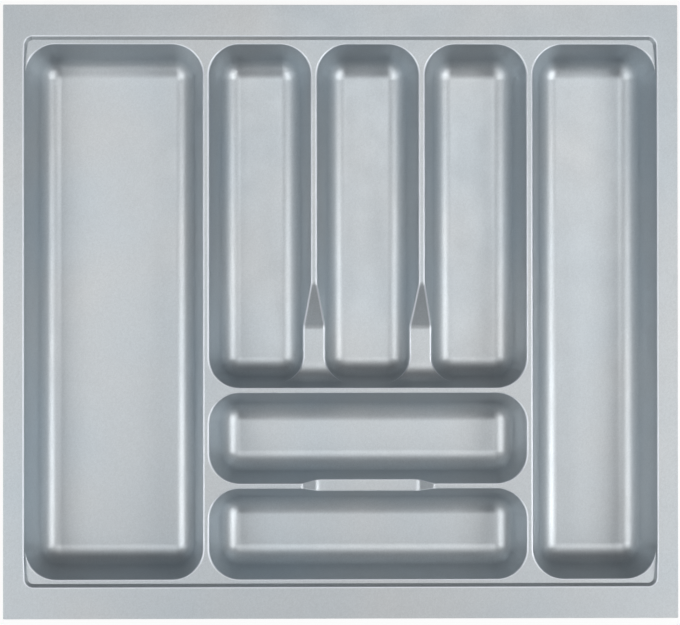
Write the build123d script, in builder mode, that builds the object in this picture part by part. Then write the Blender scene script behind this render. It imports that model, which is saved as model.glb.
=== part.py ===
from build123d import *
from math import cos, radians, sin, tan
import os

# Cutlery tray for a kitchen drawer: one sheet of plastic drawn by vacuum into seven wells.
# X runs across the drawer, +Y is the back of the drawer and +Z is up.
# The origin is under the middle of the tray, on the surface that the wells stand on.
# The real tray is a single moulding. Its regions are solids that meet face to face: the
# flange with its step, the deck, a tub for each well, and the low bridges between tubs.

# The whole tray, in millimetres, and the lean of its walls in degrees
tray_width = 520.0
tray_length = 473.0
tray_height = 48.0
sheet = 1.5
draft = 13.5
step_rounding = 1.2
mouth_bevel = 0.7

# The flange, which is trimmed to fit the drawer, and the step down to the deck
side_border = 16.0
end_border = 24.3
step_drop = 3.0
step_corner = 7.0

# The wells at the level of the deck, and the strips of deck between and beyond them
narrow_well_width = 78.2
side_well_width = 94.7
cross_well_length = 69.6
upright_ridge = 5.2
cross_ridge = 4.2
end_strip = 5.1
well_corner = 23.5

# Saddles: the front ends of the ridges between the narrow wells, which slope down to a flat
saddle_length = 80.3
saddle_ramp = 33.2
saddle_depth = 25.6
saddle_front_fillet = 7.0
saddle_foot_fillet = 4.0

# Finger dip in the ridge between the two cross wells
dip_length = 102.4
dip_ramp = 12.3
dip_depth = 10.6
dip_foot_fillet = 4.0

long_wells = ["wide_well", "side_well"]
narrow_wells = ["narrow_well_left", "narrow_well_middle", "narrow_well_right"]
saddles = ["left_saddle", "right_saddle"]

os.makedirs("parts", exist_ok=True)

# Levels of the sheet
deck_top = tray_height - step_drop
deck_under = deck_top - sheet
well_depth = deck_top - sheet

# How far a wall leans in for each unit of drop, and how wide the sheet is when cut level
lean = tan(radians(draft))
wall = sheet / cos(radians(draft))

# Radius with which the walls roll into the floor: that of a ball that fits in the foot of
# each cone corner and touches both the cone and the floor
corner_at_floor = well_corner - well_depth * lean
floor_fillet = corner_at_floor * cos(radians(draft)) / (1 - sin(radians(draft)))

# Outline of the step, where it leaves the flange and where it reaches the deck
step_run = step_drop * lean
step_width = tray_width - 2 * side_border
step_length = tray_length - 2 * end_border
deck_width = step_width - 2 * step_run
deck_length = step_length - 2 * step_run
deck_corner = step_corner - step_run

# Wells from left to right: wide well, group of narrow and cross wells, side well
group_width = len(narrow_wells) * narrow_well_width + len(saddles) * upright_ridge
wide_well_width = deck_width - group_width - side_well_width - 2 * upright_ridge
wide_well_x = (wide_well_width - deck_width) / 2
group_x = wide_well_x + wide_well_width / 2 + upright_ridge + group_width / 2
side_well_x = (deck_width - side_well_width) / 2
narrow_pitch = narrow_well_width + upright_ridge
narrow_xs = [group_x + (i - len(saddles) / 2) * narrow_pitch for i in range(len(narrow_wells))]
saddle_xs = [x + narrow_pitch / 2 for x in narrow_xs[: len(saddles)]]

# Wells from back to front: narrow wells, rear cross well, front cross well
wells_length = deck_length - 2 * end_strip
cross_pitch = cross_well_length + cross_ridge
front_cross_y = (cross_well_length - wells_length) / 2
rear_cross_y = front_cross_y + cross_pitch
dip_y = front_cross_y + cross_pitch / 2
narrow_well_length = wells_length - 2 * cross_pitch
narrow_well_y = (wells_length - narrow_well_length) / 2
narrow_front = narrow_well_y - narrow_well_length / 2

# Centre and size of each well at the level of the deck
wells = {name: (x, narrow_well_y, narrow_well_width, narrow_well_length)
         for name, x in zip(narrow_wells, narrow_xs)}
wells["wide_well"] = (wide_well_x, 0, wide_well_width, wells_length)
wells["side_well"] = (side_well_x, 0, side_well_width, wells_length)
wells["rear_cross_well"] = (group_x, rear_cross_y, group_width, cross_well_length)
wells["front_cross_well"] = (group_x, front_cross_y, group_width, cross_well_length)


def well_room(x, y, width, length, skin=0):
    """The room inside a well, or with a skin of the sheet's thickness its outside.

    Below, the walls roll into the floor and meet in ball corners. Above, they lean out
    with the draft up to the deck, and the corners are cones on the axes of the balls.
    """
    roll = floor_fillet + skin
    floor = sheet - skin
    roll_top = floor + roll * (1 - sin(radians(draft)))
    spread = skin / cos(radians(draft))
    with BuildPart() as room:
        with BuildSketch(Plane((x, y, floor))):
            Rectangle(width - 2 * (well_corner - roll), length - 2 * (well_corner - roll))
        extrude(amount=2 * roll)
        fillet(room.edges().filter_by(Axis.Z) + room.faces().sort_by(Axis.Z)[0].edges(), roll)
        split(bisect_by=Plane.XY.offset(roll_top), keep=Keep.BOTTOM)
        with BuildSketch(Plane((x, y, deck_top))):
            RectangleRounded(width + 2 * spread, length + 2 * spread, well_corner + spread)
        extrude(amount=roll_top - deck_top, taper=draft)
    return room.part


def saddle_room(x, skin=0):
    """The room over a saddle, or with a skin the underside of its sheet.

    Seen from the side it has the ramp at the back, the flat, and a fillet up the front
    wall, which leans as the walls of the narrow wells do. Sideways it reaches the corner
    centres of the wells beside it, so that their front walls run on as one.
    """
    rear = narrow_front + saddle_length
    flat = deck_top - saddle_depth
    with BuildPart() as room:
        with BuildSketch(Plane(origin=(x, 0, 0), x_dir=(0, 1, 0), z_dir=(1, 0, 0))) as side:
            with BuildLine():
                Polyline(
                    (rear, deck_top),
                    (rear - saddle_ramp, flat),
                    (narrow_front + saddle_depth * lean, flat),
                    (narrow_front, deck_top),
                    close=True,
                )
            make_face()
            low = side.vertices().group_by(Axis.Y)[0].sort_by(Axis.X)
            fillet(low[0], saddle_front_fillet)
            fillet(low[-1], saddle_foot_fillet)
            if skin:
                offset(amount=skin, kind=Kind.INTERSECTION)
        extrude(amount=upright_ridge / 2 + well_corner, both=True)
    return room.part


def dip_room(skin=0):
    """The room in the finger dip, or with a skin the underside of its sheet.

    It has a ramp at each end of a level bottom, and reaches into both cross wells.
    """
    half = dip_length / 2
    flat = deck_top - dip_depth
    with BuildPart() as room:
        with BuildSketch(Plane(origin=(group_x, dip_y, 0), x_dir=(1, 0, 0), z_dir=(0, -1, 0))) as front:
            with BuildLine():
                Polyline(
                    (-half, deck_top),
                    (dip_ramp - half, flat),
                    (half - dip_ramp, flat),
                    (half, deck_top),
                    close=True,
                )
            make_face()
            fillet(front.vertices().group_by(Axis.Y)[0], dip_foot_fillet)
            if skin:
                offset(amount=skin, kind=Kind.INTERSECTION)
        extrude(amount=cross_ridge / 2 + well_corner, both=True)
    return room.part


rooms = {name: well_room(*place) for name, place in wells.items()}
shells = {name: well_room(*place, skin=sheet) for name, place in wells.items()}
bridges = {name: saddle_room(x) for name, x in zip(saddles, saddle_xs)}
bridges["finger_dip"] = dip_room()
bridge_shells = {name: saddle_room(x, skin=sheet) for name, x in zip(saddles, saddle_xs)}
bridge_shells["finger_dip"] = dip_room(skin=sheet)

# Flange: the level border, and the step whose upper edge is rounded
with BuildPart() as flange:
    with BuildSketch(Plane.XY.offset(tray_height)):
        Rectangle(tray_width, tray_length)
    extrude(amount=-sheet)
    with BuildSketch(Plane.XY.offset(tray_height)):
        RectangleRounded(step_width + 2 * wall, step_length + 2 * wall, step_corner + wall)
    extrude(amount=-(step_drop + sheet), taper=draft)
    with BuildSketch(Plane.XY.offset(tray_height)):
        RectangleRounded(step_width, step_length, step_corner)
    extrude(amount=-(step_drop + sheet), taper=draft, mode=Mode.SUBTRACT)
    step_edge = flange.faces().sort_by(Axis.Z)[-1].inner_wires()[0].edges()
    fillet(step_edge, step_rounding)
flange.part.label = "flange"
export_step(flange.part, "parts/flange.step")

# Deck: the sheet inside the step. The mouths of the wells, whose edges are eased with a
# narrow bevel, leave slender ridges between them and a strip beyond them at each end.
with BuildPart() as deck:
    with BuildSketch(Plane.XY.offset(deck_top)) as foot_of_step:
        RectangleRounded(deck_width, deck_length, deck_corner)
    extrude(amount=-sheet, taper=draft)
    for room in [*rooms.values(), *bridges.values()]:
        add(room, mode=Mode.SUBTRACT)
    foot = foot_of_step.sketch.face().outer_wire()
    mouths = deck.faces().sort_by(Axis.Z)[-1].edges().filter_by(
        lambda edge: foot.distance_to(edge @ 0.5) > mouth_bevel
    )
    chamfer(mouths, mouth_bevel)
deck.part.label = "deck"
export_step(deck.part, "parts/deck.step")

# Tubs: the walls and floor of each well below the deck, cut low where a bridge meets them
tubs = {}
for name, room in rooms.items():
    with BuildPart() as tub:
        add(shells[name])
        add(room, mode=Mode.SUBTRACT)
        for bridge in bridges.values():
            add(bridge, mode=Mode.SUBTRACT)
        split(bisect_by=Plane.XY.offset(deck_under), keep=Keep.BOTTOM)
    tubs[name] = tub.part

# The tubs that run the whole length of the tray are each in a rear and a front half
for name in long_wells:
    whole = tubs.pop(name)
    for end, side in (("rear", Keep.TOP), ("front", Keep.BOTTOM)):
        with BuildPart() as half:
            add(whole)
            split(bisect_by=Plane.ZX, keep=side)
        tubs[f"{name}_{end}"] = half.part

for name, part in tubs.items():
    part.label = name
    export_step(part, f"parts/{name}.step")

# Bridges: the lowered ridges that join neighbouring tubs, each as thick as the sheet
for name, room in bridges.items():
    with BuildPart() as bridge:
        add(bridge_shells[name])
        add(room, mode=Mode.SUBTRACT)
        for shell in shells.values():
            add(shell, mode=Mode.SUBTRACT)
        split(bisect_by=Plane.XY.offset(deck_under), keep=Keep.BOTTOM)
    bridge.part.label = name
    export_step(bridge.part, f"parts/{name}.step")
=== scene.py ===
from math import atan2, cos, hypot, pi, radians, sin, tan

import bmesh
import bpy
import numpy as np
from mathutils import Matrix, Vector
from mathutils.geometry import tessellate_polygon


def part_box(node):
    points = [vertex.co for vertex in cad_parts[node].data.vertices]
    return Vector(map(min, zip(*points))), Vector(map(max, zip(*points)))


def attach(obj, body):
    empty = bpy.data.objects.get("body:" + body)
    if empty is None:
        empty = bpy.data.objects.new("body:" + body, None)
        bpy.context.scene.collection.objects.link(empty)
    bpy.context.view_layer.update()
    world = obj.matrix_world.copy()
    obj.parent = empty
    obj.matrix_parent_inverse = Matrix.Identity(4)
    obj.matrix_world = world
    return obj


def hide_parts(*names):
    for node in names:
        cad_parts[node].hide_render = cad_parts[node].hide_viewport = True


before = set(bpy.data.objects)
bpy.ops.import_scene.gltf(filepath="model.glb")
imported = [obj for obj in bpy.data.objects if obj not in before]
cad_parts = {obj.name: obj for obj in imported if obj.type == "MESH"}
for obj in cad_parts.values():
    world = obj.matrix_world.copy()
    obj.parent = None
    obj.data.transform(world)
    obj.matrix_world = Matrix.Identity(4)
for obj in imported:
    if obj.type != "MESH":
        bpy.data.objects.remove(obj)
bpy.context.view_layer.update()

mm = 0.001

# Cutlery tray: one sheet of silver polystyrene, heated and drawn by vacuum into a mould. It
# is one mesh of two skins, joined by the cut edge: the upper face, with a depth of 0, and the
# underside, with the sheet's thickness as its depth. All walls but the step's have one draft.
sheet = 1.5 * mm
draft = radians(13.5)
lean = tan(draft)
flange_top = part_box("flange")[1][2]
deck_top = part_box("deck")[1][2]
crease = 0.15 * mm  # the least radius on which a skin turns
pale_power = 1.6
corner_steps = 22
rounding_steps = 5


def straight(start, end, facing, shares=(0, 1)):
    """Run along a straight wall: the points on the line of its corner axes that lie at
    shares of the way from start to end, and the way that the wall faces at each."""
    share = np.asarray(shares, float)[:, None]
    foot = np.array(start) * (1 - share) + np.array(end) * share
    return foot, np.tile(np.array(facing, float), (len(foot), 1))


def turning(axis, first):
    """Run round a corner: its points all lie on the corner's axis, while the way that the
    wall faces turns by a right angle, anticlockwise from the first."""
    turn = first + np.linspace(0, pi / 2, corner_steps + 1)
    facing = np.stack([np.cos(turn), np.sin(turn)], axis=1)
    return np.tile(np.array(axis, float), (len(facing), 1)), facing


def ring(core, across=(0, 1), along=(0, 1)):
    """The eight runs round a rectangle of corner axes, anticlockwise from the right side.

    The front and rear sides have points at shares of their length called across, counted
    from the left, and the left and right sides at shares called along, from the front.
    """
    left, front, right, rear = core
    across, along = np.asarray(across), np.asarray(along)
    return {
        "right": straight((right, front), (right, rear), (1, 0), along),
        "rear_right": turning((right, rear), 0),
        "rear": straight((left, rear), (right, rear), (0, 1), across[::-1]),
        "rear_left": turning((left, rear), pi / 2),
        "left": straight((left, front), (left, rear), (-1, 0), along[::-1]),
        "front_left": turning((left, front), pi),
        "front": straight((left, front), (right, front), (0, -1), across),
        "front_right": turning((right, front), 3 * pi / 2),
    }


def joined(*runs):
    """One run made of several that follow each other."""
    return tuple(np.concatenate(parts) for parts in zip(*runs))


def placed(run, out, up, pale=0):
    """Grid of points, each of four values: the place that lies out from a point of the run,
    the way that its wall faces, at the height up, and how pale the sheet is there."""
    foot, facing = run
    x, y = foot[:, 0] + facing[:, 0] * out, foot[:, 1] + facing[:, 1] * out
    return np.dstack([x, y, np.broadcast_to(up, x.shape), np.broadcast_to(pale, x.shape)])


def drawn_wall(run, radius, level, brow, rounding, slope=0, rows=(), slant=draft):
    """Grid of points up a drafted wall, with one column for each point of the run.

    At the given level the wall stands at radius from the run's points, the way that it
    faces, and it leans out by slant as it rises. At the brow it meets the surface above,
    which rises outwards by slope, and it turns over into that on an arc of the given
    rounding. Each height in rows has a row of its own, or the arc's first where it lies
    above that. The arc carries a painted highlight: it is painted pale by the sine of pi
    times a power of its share of the way, which is greatest on its upper part, and less
    in proportion for a rounding under 1 mm.
    """
    brow, rounding, slope, slant = (
        np.broadcast_to(value, len(run[0])) for value in (brow, rounding, slope, slant))
    half = (pi / 2 - slant - np.arctan(slope)) / 2
    start = brow - rounding * np.tan(half) * np.cos(slant)
    up = np.vstack([np.minimum(height, start) for height in rows] + [start])
    out = radius - (level - up) * np.tan(slant)
    share = np.linspace(0, 1, rounding_steps + 1)[1:, None]
    turn = (pi - slant) - 2 * half * share
    out = np.vstack([out, out[-1] + rounding * (np.cos(slant) + np.cos(turn))])
    up = np.vstack([up, start + rounding * (np.sin(turn) - np.sin(slant))])
    pale = np.zeros_like(up)
    pale[-rounding_steps:] = np.sin(pi * share ** pale_power)
    return placed(run, out, up, pale * np.minimum(rounding / mm, 1))


# Flange: the level border, cut square with a saw, which leaves crisp edges. Its inner edge
# rolls over into the step, which leans by 40 degrees and whose foot stands on the deck.
step_corner = 7 * mm
step_rounding = 1.8 * mm
step_slant = radians(40)
step_shares = np.linspace(0, 1, 9)
cut_corner = 0.8 * mm
cut_edge = 0.25 * mm
cut_steps = 4
deck_low, deck_high = (np.array(corner[:2]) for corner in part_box("deck"))
mouth_inset = step_corner - (flange_top - deck_top) * lean
step_core = np.concatenate([deck_low + mouth_inset, deck_high - mouth_inset])
flange_low, flange_high = (np.array(corner[:2]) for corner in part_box("flange"))
flange_core = np.concatenate([flange_low + cut_corner, flange_high - cut_corner])


def cut_band():
    """Grid of points down the cut edge: round the flange, and from its upper face over a
    quarter circle, down the cut and under a second quarter circle."""
    quarter = np.linspace(pi / 2, 0, cut_steps + 1)
    turn = np.concatenate([quarter, -quarter[::-1]])[:, None]
    middles = flange_top - cut_edge, flange_top - sheet + cut_edge
    out = cut_corner - cut_edge + cut_edge * np.cos(turn)
    up = np.repeat(middles, cut_steps + 1)[:, None] + cut_edge * np.sin(turn)
    return placed(joined(*ring(flange_core).values()), out, up)


def step_walls(skin, wide, side):
    """Grids of points up the step behind and before the wells. Beside the wide and the
    side well the step is the upper part of their outer walls, so it ends at their corners
    with their draft, and from there its slant grows with the square of the distance."""
    left, front, right, rear = step_core
    behind = joined(
        straight((right, side[3]), (right, rear), (1, 0), step_shares),
        turning((right, rear), 0),
        straight((right, rear), (left, rear), (0, 1)),
        turning((left, rear), pi / 2),
        straight((left, rear), (left, wide[3]), (-1, 0), step_shares))
    before = joined(
        straight((left, wide[1]), (left, front), (-1, 0), step_shares),
        turning((left, front), pi),
        straight((left, front), (right, front), (0, -1)),
        turning((right, front), 3 * pi / 2),
        straight((right, front), (right, side[1]), (1, 0), step_shares))
    walls = []
    for run in (behind, before):
        y = run[0][:, 1]
        share = np.maximum((y - side[3]) / (rear - side[3]), (side[1] - y) / (side[1] - front))
        slant = draft + (step_slant - draft) * np.clip(share, 0, 1) ** 2
        walls.append(drawn_wall(
            run, step_corner + skin / np.cos(slant), flange_top, flange_top - skin,
            max(step_rounding - skin, crease), rows=[deck_top - skin], slant=slant))
    return walls


# Wells: the seven hollows, with level floors. Their corners are cones that end in a ball,
# because the hot sheet thins and rounds off where it is drawn deepest.
well_corner = 23.5 * mm
side_mouth = 2.2 * mm
end_mouth = 1.1 * mm
ledge_share = 0.45  # of the deck beside the outer wells' corners, which their mouths may take
roll_steps = 14
floor_roll = (well_corner - (deck_top - sheet) * lean) * cos(draft) / (1 - sin(draft))


def well_core(*nodes):
    """Rectangle of the corner axes of a well, from the box round the outside of its CAD
    walls just under the deck."""
    boxes = np.array([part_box(node) for node in nodes])
    outside = well_corner + sheet / cos(draft) - sheet * lean
    return np.concatenate([boxes[:, 0, :2].min(0) + outside, boxes[:, 1, :2].max(0) - outside])


wide_core = well_core("wide_well_rear", "wide_well_front")
side_core = well_core("side_well_rear", "side_well_front")
narrow_cores = [well_core("narrow_well_" + place) for place in ("left", "middle", "right")]
rear_core, front_core = well_core("rear_cross_well"), well_core("front_cross_well")


def mouth_radius(skin, height):
    """How far a well's wall stands from the axes of its corners at a height."""
    return well_corner + skin / cos(draft) - (deck_top - height) * lean


def mouth_rounding(run, skin):
    """Radius with which a well's wall rolls over at the mouth. The sides roll over wider
    than the ends, and the corners pass from one to the other."""
    sideways = run[1][:, 0] ** 2
    return np.maximum(side_mouth * sideways + end_mouth * (1 - sideways) - skin, crease)


def well_wall(run, skin, brow, rounding, slope=0, rows=()):
    """Grid of points up the wall of a well: it starts level with the floor, turns up on an
    arc, and goes on as a drafted wall."""
    roll = floor_roll + skin
    turn = np.linspace(-pi / 2, -draft, roll_steps + 1)[:, None]
    up = sheet - skin + roll * (1 + np.sin(turn))
    rolled = placed(run, roll * np.maximum(np.cos(turn), 0), up)
    wall = drawn_wall(run, mouth_radius(skin, deck_top), deck_top, brow, rounding, slope, rows)
    return np.concatenate([rolled, wall])


def well_floor(core, skin, across=(0, 1), along=(0, 1)):
    """Grid of points on a floor, between the points of its four sides."""
    left, front, right, rear = core
    across, along = np.asarray(across), np.asarray(along)
    x, y = np.meshgrid(left + (right - left) * across, front + (rear - front) * along)
    return np.dstack([x, y, np.full_like(x, sheet - skin), np.zeros_like(x)])


def long_well(core, skin, outer):
    """Grids of the wide or the side well, and the upper rows of its walls. Its outer side
    runs on up the step, where the deck at both corners narrows to nothing."""
    grids, mouth = [well_floor(core, skin)], {}
    for side, run in ring(core).items():
        brow, rounding, rows = deck_top - skin, mouth_rounding(run, skin), ()
        if side == outer:
            brow, rounding, rows = flange_top - skin, max(step_rounding - skin, crease), [brow]
        elif outer in side:
            ledge = mouth_radius(skin, brow) * (1 - np.abs(run[1][:, 0]))
            rounding = np.minimum(rounding, ledge_share * ledge / tan((pi / 2 - draft) / 2))
        grids.append(well_wall(run, skin, brow, rounding, rows=rows))
        mouth[side] = grids[-1][-1]
    return grids, mouth


# Saddles and finger dip: bridges, where the ridge between two wells is drawn down. Each
# saddle slopes from a ridge to a flat and ends in the wells' front wall, and the dip has a
# ramp at each end. The bends of the dip's ramps get a faint painted highlight, as the mouths do.
saddle_length = 80.3 * mm
saddle_ramp = 33.2 * mm
saddle_depth = 25.6 * mm
saddle_front_fillet = 16 * mm
saddle_foot_fillet = 8 * mm
saddle_brow = 7 * mm
dip_length = 102.4 * mm
dip_ramp = 12.3 * mm
dip_depth = 10.6 * mm
dip_foot_fillet = 8 * mm
dip_brow = 5 * mm
dip_pale = 0.15
bend_steps = 8
halvings = 40
over_ridge = np.linspace(0, 1, 7)


def bent_line(corners, radii, skin):
    """Side view of a bridge: points from one end to the other, and the normal at each.

    The line goes straight from corner to corner, and turns each inner one on an arc. On
    the underside the line is moved down square to itself by the skin, so that the arcs of
    its hollows widen and those of its crests tighten.
    """
    corners = np.array(corners)
    along = np.diff(corners, axis=0)
    along /= np.linalg.norm(along, axis=1, keepdims=True)
    normals = np.stack([-along[:, 1], along[:, 0]], axis=1)
    points, upward = [corners[0] - skin * normals[0]], [normals[0]]
    for i, radius in enumerate(radii):
        before, after = normals[i], normals[i + 1]
        middle = corners[i + 1] - skin * (before + after) / (1 + before @ after)
        side = np.sign(along[i][1] * along[i + 1][0] - along[i][0] * along[i + 1][1])
        radius = max(radius - side * skin, crease)
        turn = np.linspace(atan2(before[1], before[0]), atan2(after[1], after[0]), bend_steps + 1)
        back = radius * tan(abs(turn[-1] - turn[0]) / 2)
        centre = middle - back * along[i] - side * radius * before
        outward = np.stack([np.cos(turn), np.sin(turn)], axis=1)
        points.extend(centre + side * radius * outward)
        upward.extend(outward)
    points.append(corners[-1] - skin * normals[-1])
    upward.append(normals[-1])
    return np.array(points), np.array(upward)


def on_line(line, places):
    """Height and steepness of a bent line at places along it."""
    points, upward = line
    height = np.interp(places, points[:, 0], points[:, 1])
    sideways = np.interp(places, points[:, 0], upward[:, 0])
    return height, -sideways / np.interp(places, points[:, 0], upward[:, 1])


def stations(line, low, high):
    """Shares of the way from low to high at which a bent line has its points."""
    places = line[0][(line[0][:, 0] > low + crease) & (line[0][:, 0] < high - crease), 0]
    return np.concatenate([[0], (places - low) / (high - low), [1]])


def corner_brow(run, line, skin):
    """Height and steepness of a saddle where each line up a cone corner meets it. The
    height lies between the flat and the top of the front fillet, and is found by halving."""
    foot, facing = run

    def saddle_at(height):
        """Height and steepness of the saddle where the corner's lines reach a height."""
        return on_line(line, foot[:, 1] + facing[:, 1] * mouth_radius(skin, height))

    low, high = np.full(len(foot), line[0][:, 1].min()), np.full(len(foot), line[0][1, 1])
    for halving in range(halvings):
        brow = (low + high) / 2
        above = brow > saddle_at(brow)[0]
        low, high = np.where(above, low, brow), np.where(above, brow, high)
    return high, saddle_at(high)[1] * facing[:, 1]


def saddle_group(skin):
    """Grids of the narrow wells and the saddles, and the outline of the hole that they make
    in the deck, which goes round each ridge as far as the top of the saddle's ramp."""
    front, rear = narrow_cores[1][1::2]
    mouth = front - well_corner
    foot, ramp_top = mouth + saddle_depth * lean, mouth + saddle_length
    ramp_foot = ramp_top - saddle_ramp
    flat, deck = deck_top - saddle_depth, deck_top - skin
    line = bent_line(
        [(mouth, deck_top), (foot, flat), (ramp_foot, flat), (ramp_top, deck_top),
         (rear, deck_top)],
        [saddle_front_fillet, saddle_foot_fillet, saddle_brow], skin)
    crest, ridge_end = line[0][1, 1], line[0][-2, 0]
    along = stations(line, front, rear)
    grids, mouths = [], []
    for i, core in enumerate(narrow_cores):
        bridged = ["left"] * (i > 0) + ["right"] * (i < 2)
        grids.append(well_floor(core, skin, along=along))
        mouths.append({})
        for side, run in ring(core, along=along).items():
            brow, slope = deck, 0
            if side in bridged:
                brow = on_line(line, run[0][:, 1])[0]
            elif side.removeprefix("front_") in bridged:
                brow, slope = corner_brow(run, line, skin)
            wall = well_wall(run, skin, brow, mouth_rounding(run, skin), slope, rows=[crest])
            if side.removeprefix("front_") in bridged:
                wall[-1, :, 2] = on_line(line, wall[-1, :, 1])[0]
            grids.append(wall)
            mouths[i][side] = wall[-1]

    # Each saddle is carried straight across, and the wall before it goes on up to the deck
    saddles, front_walls = [], []
    for i in (0, 1):
        lefts = np.concatenate([mouths[i]["front_right"], mouths[i]["right"]])
        rights = np.concatenate([mouths[i + 1]["left"], mouths[i + 1]["front_left"]])[::-1]
        lower = lefts[:, 1] < ridge_end + crease / 2
        saddles.append(lefts[lower, None] + (rights - lefts)[lower, None] * over_ridge[:, None])
        ends = (narrow_cores[i][2], front), (narrow_cores[i + 1][0], front)
        run = straight(*ends, (0, -1), over_ridge)
        wall = well_wall(run, skin, deck, mouth_rounding(run, skin), rows=[crest])
        front_walls.append(wall[roll_steps + 1:])

    # The hole's outline goes behind the three wells from right to left. On the way it passes
    # round each ridge and across the top of its saddle, and it comes back along the front.
    outline = []
    for i in (2, 1, 0):
        right, left = mouths[i]["right"], mouths[i]["left"]
        if i < 2:
            outline.append(saddles[i][-1, ::-1])
            right = right[right[:, 1] > ridge_end - crease / 2]
        if i > 0:
            left = left[left[:, 1] > ridge_end - crease / 2]
        outline += [right, mouths[i]["rear_right"], mouths[i]["rear"], mouths[i]["rear_left"], left]
    outline += [mouths[0]["front_left"], mouths[0]["front"]]
    for i in (0, 1):
        outline += [front_walls[i][-1], mouths[i + 1]["front"]]
    outline.append(mouths[2]["front_right"])
    return grids + saddles + front_walls, np.concatenate(outline)


def cross_group(skin):
    """Grids of the cross wells and the finger dip, and the outline of their hole in the
    deck, which goes round the ridge at both ends of the dip."""
    left, right = rear_core[::2]
    start, end = (left + right - dip_length) / 2, (left + right + dip_length) / 2
    flat, deck = deck_top - dip_depth, deck_top - skin
    line = bent_line(
        [(left, deck_top), (start, deck_top), (start + dip_ramp, flat), (end - dip_ramp, flat),
         (end, deck_top), (right, deck_top)],
        [dip_brow, dip_foot_fillet, dip_foot_fillet, dip_brow], skin)
    first, last = line[0][1, 0] - crease / 2, line[0][-2, 0] + crease / 2
    across = stations(line, left, right)
    grids, mouths = [], []
    for core, bridged in ((rear_core, "front"), (front_core, "rear")):
        grids.append(well_floor(core, skin, across=across))
        mouths.append({})
        for side, run in ring(core, across=across).items():
            brow = on_line(line, run[0][:, 0])[0] if side == bridged else deck
            grids.append(well_wall(run, skin, brow, mouth_rounding(run, skin)))
            mouths[-1][side] = grids[-1][-1]

    rears, fronts = mouths[0]["front"], mouths[1]["rear"][::-1]
    dip = (rears[:, 0] > first) & (rears[:, 0] < last)
    bridge = rears[dip, None] + (fronts - rears)[dip, None] * over_ridge[:, None]
    # Painted highlight on the dip: its bends are made pale by the sine of pi times their steepness
    # as a share of the ramp's
    steepness = np.abs(on_line(line, bridge[:, :, 0])[1]) * dip_ramp / dip_depth
    bridge[:, :, 3] = dip_pale * np.sin(pi * np.clip(steepness, 0, 1))
    west, east = rears[:, 0] < first + crease, rears[:, 0] > last - crease
    behind = [mouths[0][side] for side in (
        "right", "rear_right", "rear", "rear_left", "left", "front_left")]
    before = [mouths[1][side] for side in (
        "rear_left", "left", "front_left", "front", "front_right", "right", "rear_right")]
    outline = [*behind, rears[west], bridge[0], fronts[west][::-1],
               *before, fronts[east][::-1], bridge[-1, ::-1], rears[east],
               mouths[0]["front_right"]]
    return grids + [bridge], np.concatenate(outline)


# Deck and flange: the level parts, which lay flat on the mould and kept most of their
# thickness. Each fills its plane between the outlines that the other grids leave in it.
least_gap = 0.0001 * mm
weld = 0.002 * mm
sharp_edge = radians(32)


def skin_surfaces(skin):
    """All the grids of one skin, and its two level parts as lists of outlines."""
    wide_grids, wide = long_well(wide_core, skin, "left")
    side_grids, side = long_well(side_core, skin, "right")
    narrow_grids, narrow_hole = saddle_group(skin)
    cross_grids, cross_hole = cross_group(skin)
    behind, before = step_walls(skin, wide_core, side_core)
    inside_wide = [wide[name][::-1] for name in (
        "rear_left", "rear", "rear_right", "right", "front_right", "front", "front_left")]
    inside_side = [side[name][::-1] for name in (
        "front_right", "front", "front_left", "left", "rear_left", "rear", "rear_right")]
    deck_edge = np.concatenate([behind[0], *inside_wide, before[0], *inside_side])
    step_edge = np.concatenate([behind[-1], wide["left"], before[-1], side["right"]])
    cut = cut_band()[0 if skin == 0 else -1]
    grids = wide_grids + side_grids + narrow_grids + cross_grids + [behind, before]
    return grids, [[deck_edge, narrow_hole, cross_hole], [cut, step_edge]]


def level_part(outlines):
    """Points of a level part's outlines, and the triangles that fill the plane between
    the first of them and the others, which are holes. A point that repeats the one before
    it is left out."""
    gaps = [np.linalg.norm(line - np.roll(line, 1, axis=0), axis=1) for line in outlines]
    outlines = [line[gap > least_gap] for line, gap in zip(outlines, gaps)]
    triangles = tessellate_polygon([line[:, :3].tolist() for line in outlines])
    return np.concatenate(outlines), np.array(triangles)


def grid_part(grid):
    """Points of a grid, and the four-sided faces between neighbours in it."""
    rows, columns = grid.shape[:2]
    corner = np.arange(rows - 1)[:, None] * columns + np.arange(columns - 1)
    around = np.array([0, 1, columns + 1, columns])
    return grid.reshape(-1, 4), (corner[:, :, None] + around).reshape(-1, 4)


parts = [grid_part(cut_band())]
for skin in (0, sheet):
    grids, levels = skin_surfaces(skin)
    parts += [grid_part(grid) for grid in grids] + [level_part(outlines) for outlines in levels]
all_points = np.concatenate([points for points, faces in parts])
starts = np.cumsum([0] + [len(points) for points, faces in parts])
all_faces = [
    face for (points, faces), start in zip(parts, starts) for face in (faces + start).tolist()]
mesh = bpy.data.meshes.new("formed_sheet")
mesh.from_pydata(all_points[:, :3].tolist(), [], all_faces)
pale = mesh.attributes.new("pale", "FLOAT", "POINT")
pale.data.foreach_set("value", all_points[:, 3].astype(np.float32))

# The parts are welded where they meet, and the faces of the closed sheet turned outwards
joined_up = bmesh.new()
joined_up.from_mesh(mesh)
bmesh.ops.remove_doubles(joined_up, verts=joined_up.verts, dist=weld)
bmesh.ops.recalc_face_normals(joined_up, faces=joined_up.faces)
joined_up.to_mesh(mesh)
joined_up.free()

# Painted shade on steep faces: this attribute grows as the upward part of the normal falls,
# from nothing up to 26 degrees of tilt to full from 72 degrees on
unshaded_upward, full_shade_upward = 0.9, 0.3
normals = np.empty(3 * len(mesh.vertices), np.float32)
mesh.vertices.foreach_get("normal", normals)
wall_shade_share = (unshaded_upward - np.abs(normals[2::3])) / (unshaded_upward - full_shade_upward)
wall_shade = mesh.attributes.new("wall_shade", "FLOAT", "POINT")
wall_shade.data.foreach_set("value", np.clip(wall_shade_share, 0, 1))

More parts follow.
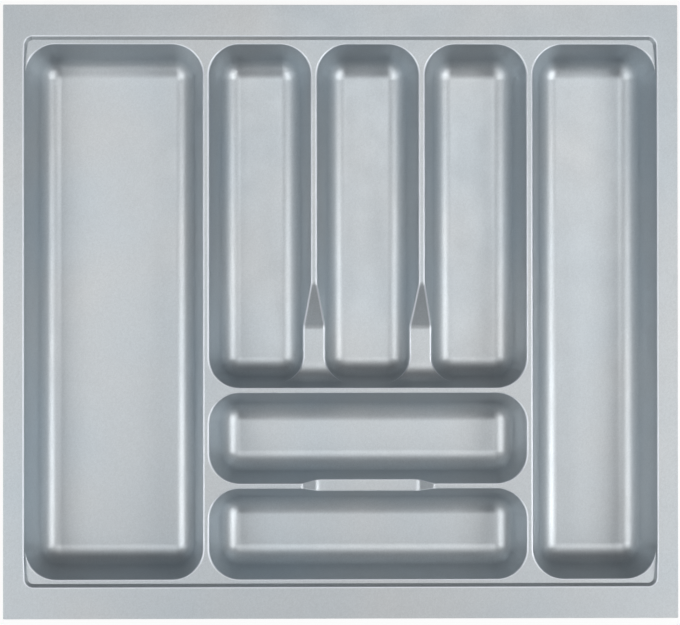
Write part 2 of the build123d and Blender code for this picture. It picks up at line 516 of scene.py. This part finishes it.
mesh.shade_smooth()
mesh.set_sharp_from_angle(angle=sharp_edge)
tray = bpy.data.objects.new("formed_sheet", mesh)
bpy.context.scene.collection.objects.link(tray)
smooth = tray.modifiers.new("even_shading", "WEIGHTED_NORMAL")
smooth.mode = "FACE_AREA"
smooth.keep_sharp = True

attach(tray, "root")
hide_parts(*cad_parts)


def linear(code):
    """Linear colour of an sRGB hex code: a value up to 0.04045 is divided by 12.92, and one
    above it has 0.055 added, is divided by 1.055, and is raised to the power of 2.4."""
    value = np.array([int(code[i:i + 2], 16) for i in (0, 2, 4)]) / 255
    return (*np.where(value <= 0.04045, value / 12.92, ((value + 0.055) / 1.055) ** 2.4), 1)


def node(material, kind, links=(), **settings):
    """Adds a node: sets its sockets and properties, and links (socket, from node, output)."""
    added = material.node_tree.nodes.new("ShaderNode" + kind)
    for name, value in settings.items():
        if name in added.inputs:
            added.inputs[name].default_value = value
        else:
            setattr(added, name, value)
    for name, source, output in links:
        material.node_tree.links.new(source.outputs[output], added.inputs[name])
    return added


# Silver polystyrene: clear plastic full of fine aluminium flake, which gives a soft metallic
# sheen, formed on a sand-blasted mould, whose grain blurs what the surface reflects. Flake
# and grain are about 0.2 mm on the real sheet, and are drawn 0.8 mm wide so that they show.
# A pattern's scale is how many of its features fit in a metre.
silver = bpy.data.materials.new("silver_polystyrene")
silver.use_nodes = True
shader = silver.node_tree.nodes["Principled BSDF"]
shader.inputs["Metallic"].default_value = 0.93
sheet_place = node(silver, "TexCoord")
height = node(silver, "SeparateXYZ", [("Vector", sheet_place, "Object")])

# Colour: the flake drifts from cool to neutral over some 80 mm, and each flake has its tone.
# On the walls painted shade makes the colour darker and bluer, the steeper the wall. Where the
# sheet rolls over a mouth a painted highlight draws a pale line about 1.5 mm wide round each
# well, and the dip's bends get a fainter one.
drift = node(silver, "TexNoise", [("Vector", sheet_place, "Object")], Scale=12, Detail=1)
tone = node(silver, "MixRGB", [("Fac", drift, "Fac")],
            Color1=linear("bac3c9"), Color2=linear("c5c6c6"))
flakes = node(silver, "TexVoronoi", [("Vector", sheet_place, "Object")], Scale=1200)
glint = node(silver, "MapRange", [("Value", flakes, "Color")], **{"To Min": 0.94, "To Max": 1.06})
flaked = node(silver, "MixRGB", [("Color1", tone, "Color"), ("Color2", glint, "Result")],
              Fac=1, blend_type="MULTIPLY")
# Painted shade on the steep walls: their colour is multiplied darker and bluer
wall_shade_node = node(silver, "Attribute", attribute_name="wall_shade")
bluer = node(silver, "MixRGB", [("Fac", wall_shade_node, "Fac"), ("Color1", flaked, "Color")],
             Color2=linear("f1f5f8"), blend_type="MULTIPLY")
# Painted highlight: a pale line on the rounded mouths and the dip's bends
rim_highlight = node(silver, "Attribute", attribute_name="pale")
rimmed = node(silver, "MixRGB", [("Fac", rim_highlight, "Fac"), ("Color1", bluer, "Color")],
              Color2=linear("e6eaf0"))
silver.node_tree.links.new(rimmed.outputs["Color"], shader.inputs["Base Color"])

# Roughness: it varies in patches of 20 mm, and is lower deep in the wells, where the sheet
# was drawn thin and lay tight on the mould
patches = node(silver, "TexNoise", [("Vector", sheet_place, "Object")], Scale=50, Detail=2)
patch_roughness = node(silver, "MapRange", [("Value", patches, "Fac")], **{
    "From Min": 0.3, "From Max": 0.7, "To Min": 0.515, "To Max": 0.545})
drawn = node(silver, "MapRange", [("Value", height, "Z")], **{
    "From Min": sheet, "From Max": deck_top, "To Min": -0.05, "To Max": 0})
roughness = node(silver, "Math", [(0, patch_roughness, "Result"), (1, drawn, "Result")],
                 operation="ADD")
silver.node_tree.links.new(roughness.outputs[0], shader.inputs["Roughness"])

# Relief: the sand-blast grain of the mould
grain = node(silver, "TexNoise", [("Vector", sheet_place, "Object")], Scale=1200, Detail=2)
relief = node(silver, "Bump", [("Height", grain, "Fac")], Strength=0.4, Distance=0.05 * mm)
silver.node_tree.links.new(relief.outputs["Normal"], shader.inputs["Normal"])
mesh.materials.append(silver)

# Studio floor: a sheet of white card, whose edges far from the tray are turned up by 0.9 m as
# a low backdrop. Nine tenths of what the camera sees of it is its own white, and the rest
# shows the shadow.
card_reach = 12
card_edge = 0.9
own_white = 0.9
card_corners = [(x * card_reach, y * card_reach, z)
                for z in (0, card_edge) for x, y in ((-1, -1), (1, -1), (1, 1), (-1, 1))]
floor_mesh = bpy.data.meshes.new("white_card")
floor_mesh.from_pydata(
    card_corners, [], [(0, 1, 2, 3), (1, 0, 4, 5), (2, 1, 5, 6), (3, 2, 6, 7), (0, 3, 7, 4)])
card = bpy.data.objects.new("white_card", floor_mesh)
bpy.context.scene.collection.objects.link(card)
white = bpy.data.materials.new("white_card")
white.use_nodes = True
white.node_tree.nodes.clear()
path = node(white, "LightPath")
seen = node(white, "Math", [(0, path, "Is Camera Ray"), (1, path, "Is Glossy Ray")],
            operation="ADD")
seen = node(white, "Math", [(0, seen, 0), (1, path, "Is Transmission Ray")], operation="ADD")
share = node(white, "Math", [(0, seen, 0)], operation="MULTIPLY")
share.inputs[1].default_value = own_white
matte = node(white, "BsdfDiffuse", Color=linear("f2f2f2"))
glow = node(white, "Emission", Color=linear("ffffff"), Strength=1)
mixed = node(white, "MixShader", [(0, share, 0), (1, matte, 0), (2, glow, 0)])
node(white, "OutputMaterial", [("Surface", mixed, 0)])
floor_mesh.materials.append(white)

# Studio light: a soft panel overhead, a long soft box on each side, a low one before the
# tray and a very weak one behind it. The room is nearly dark, so that the walls that face
# the front and the back stay dark.
world = bpy.data.worlds.new("studio")
world.use_nodes = True
room = world.node_tree.nodes["Background"]
room.inputs["Color"].default_value = linear("8fb8e6")
room.inputs["Strength"].default_value = 0.03
bpy.context.scene.world = world


def soft_box(name, place, size, radiance):
    """Area lamp that faces the middle of the tray. Its power is its radiance times its area
    and pi, and the second of its sides runs along Y."""
    lamp = bpy.data.lights.new(name, "AREA")
    lamp.shape = "RECTANGLE"
    lamp.size, lamp.size_y = size
    lamp.energy = radiance * pi * size[0] * size[1]
    lit = bpy.data.objects.new(name, lamp)
    lit.location = place
    lit.rotation_euler = (atan2(-place[1], hypot(place[0], place[2])), atan2(place[0], place[2]), 0)
    bpy.context.scene.collection.objects.link(lit)


soft_box("overhead_panel", (0.14, 0.42, 2.4), (0.95, 1.4), 3.5)
soft_box("rear_soft_box", (0.2, 1.3, 1.3), (1.2, 0.8), 0.15)
soft_box("front_soft_box", (-0.7, -1.6, 0.9), (0.8, 0.5), 3.5)
soft_box("left_soft_box", (-1.05, -0.35, 1.2), (0.55, 1.3), 5)
soft_box("right_soft_box", (1.1, -0.42, 1.1), (0.45, 1.4), 6.7)

# Camera: 1.7 m above the flange, a little to the left and the front of the tray's middle,
# and looking down at it. Its view is 524 mm wide at the flange.
camera_height = 1.7
seen_width = 0.524
sensor = 36
camera_turn = radians(-0.05)
camera = bpy.data.objects.new("camera", bpy.data.cameras.new("camera"))
camera.data.sensor_width = sensor
camera.data.lens = sensor * camera_height / seen_width
camera.data.clip_end = 50
camera.location = (-0.021, -0.012, flange_top + camera_height)
aim = Vector((-0.0008, -0.0008, flange_top)) - camera.location
camera.rotation_euler = (atan2(aim.y, -aim.z), -atan2(aim.x, -aim.z), camera_turn)
bpy.context.scene.collection.objects.link(camera)
bpy.context.scene.camera = camera

bpy.context.scene.view_settings.view_transform = "Standard"
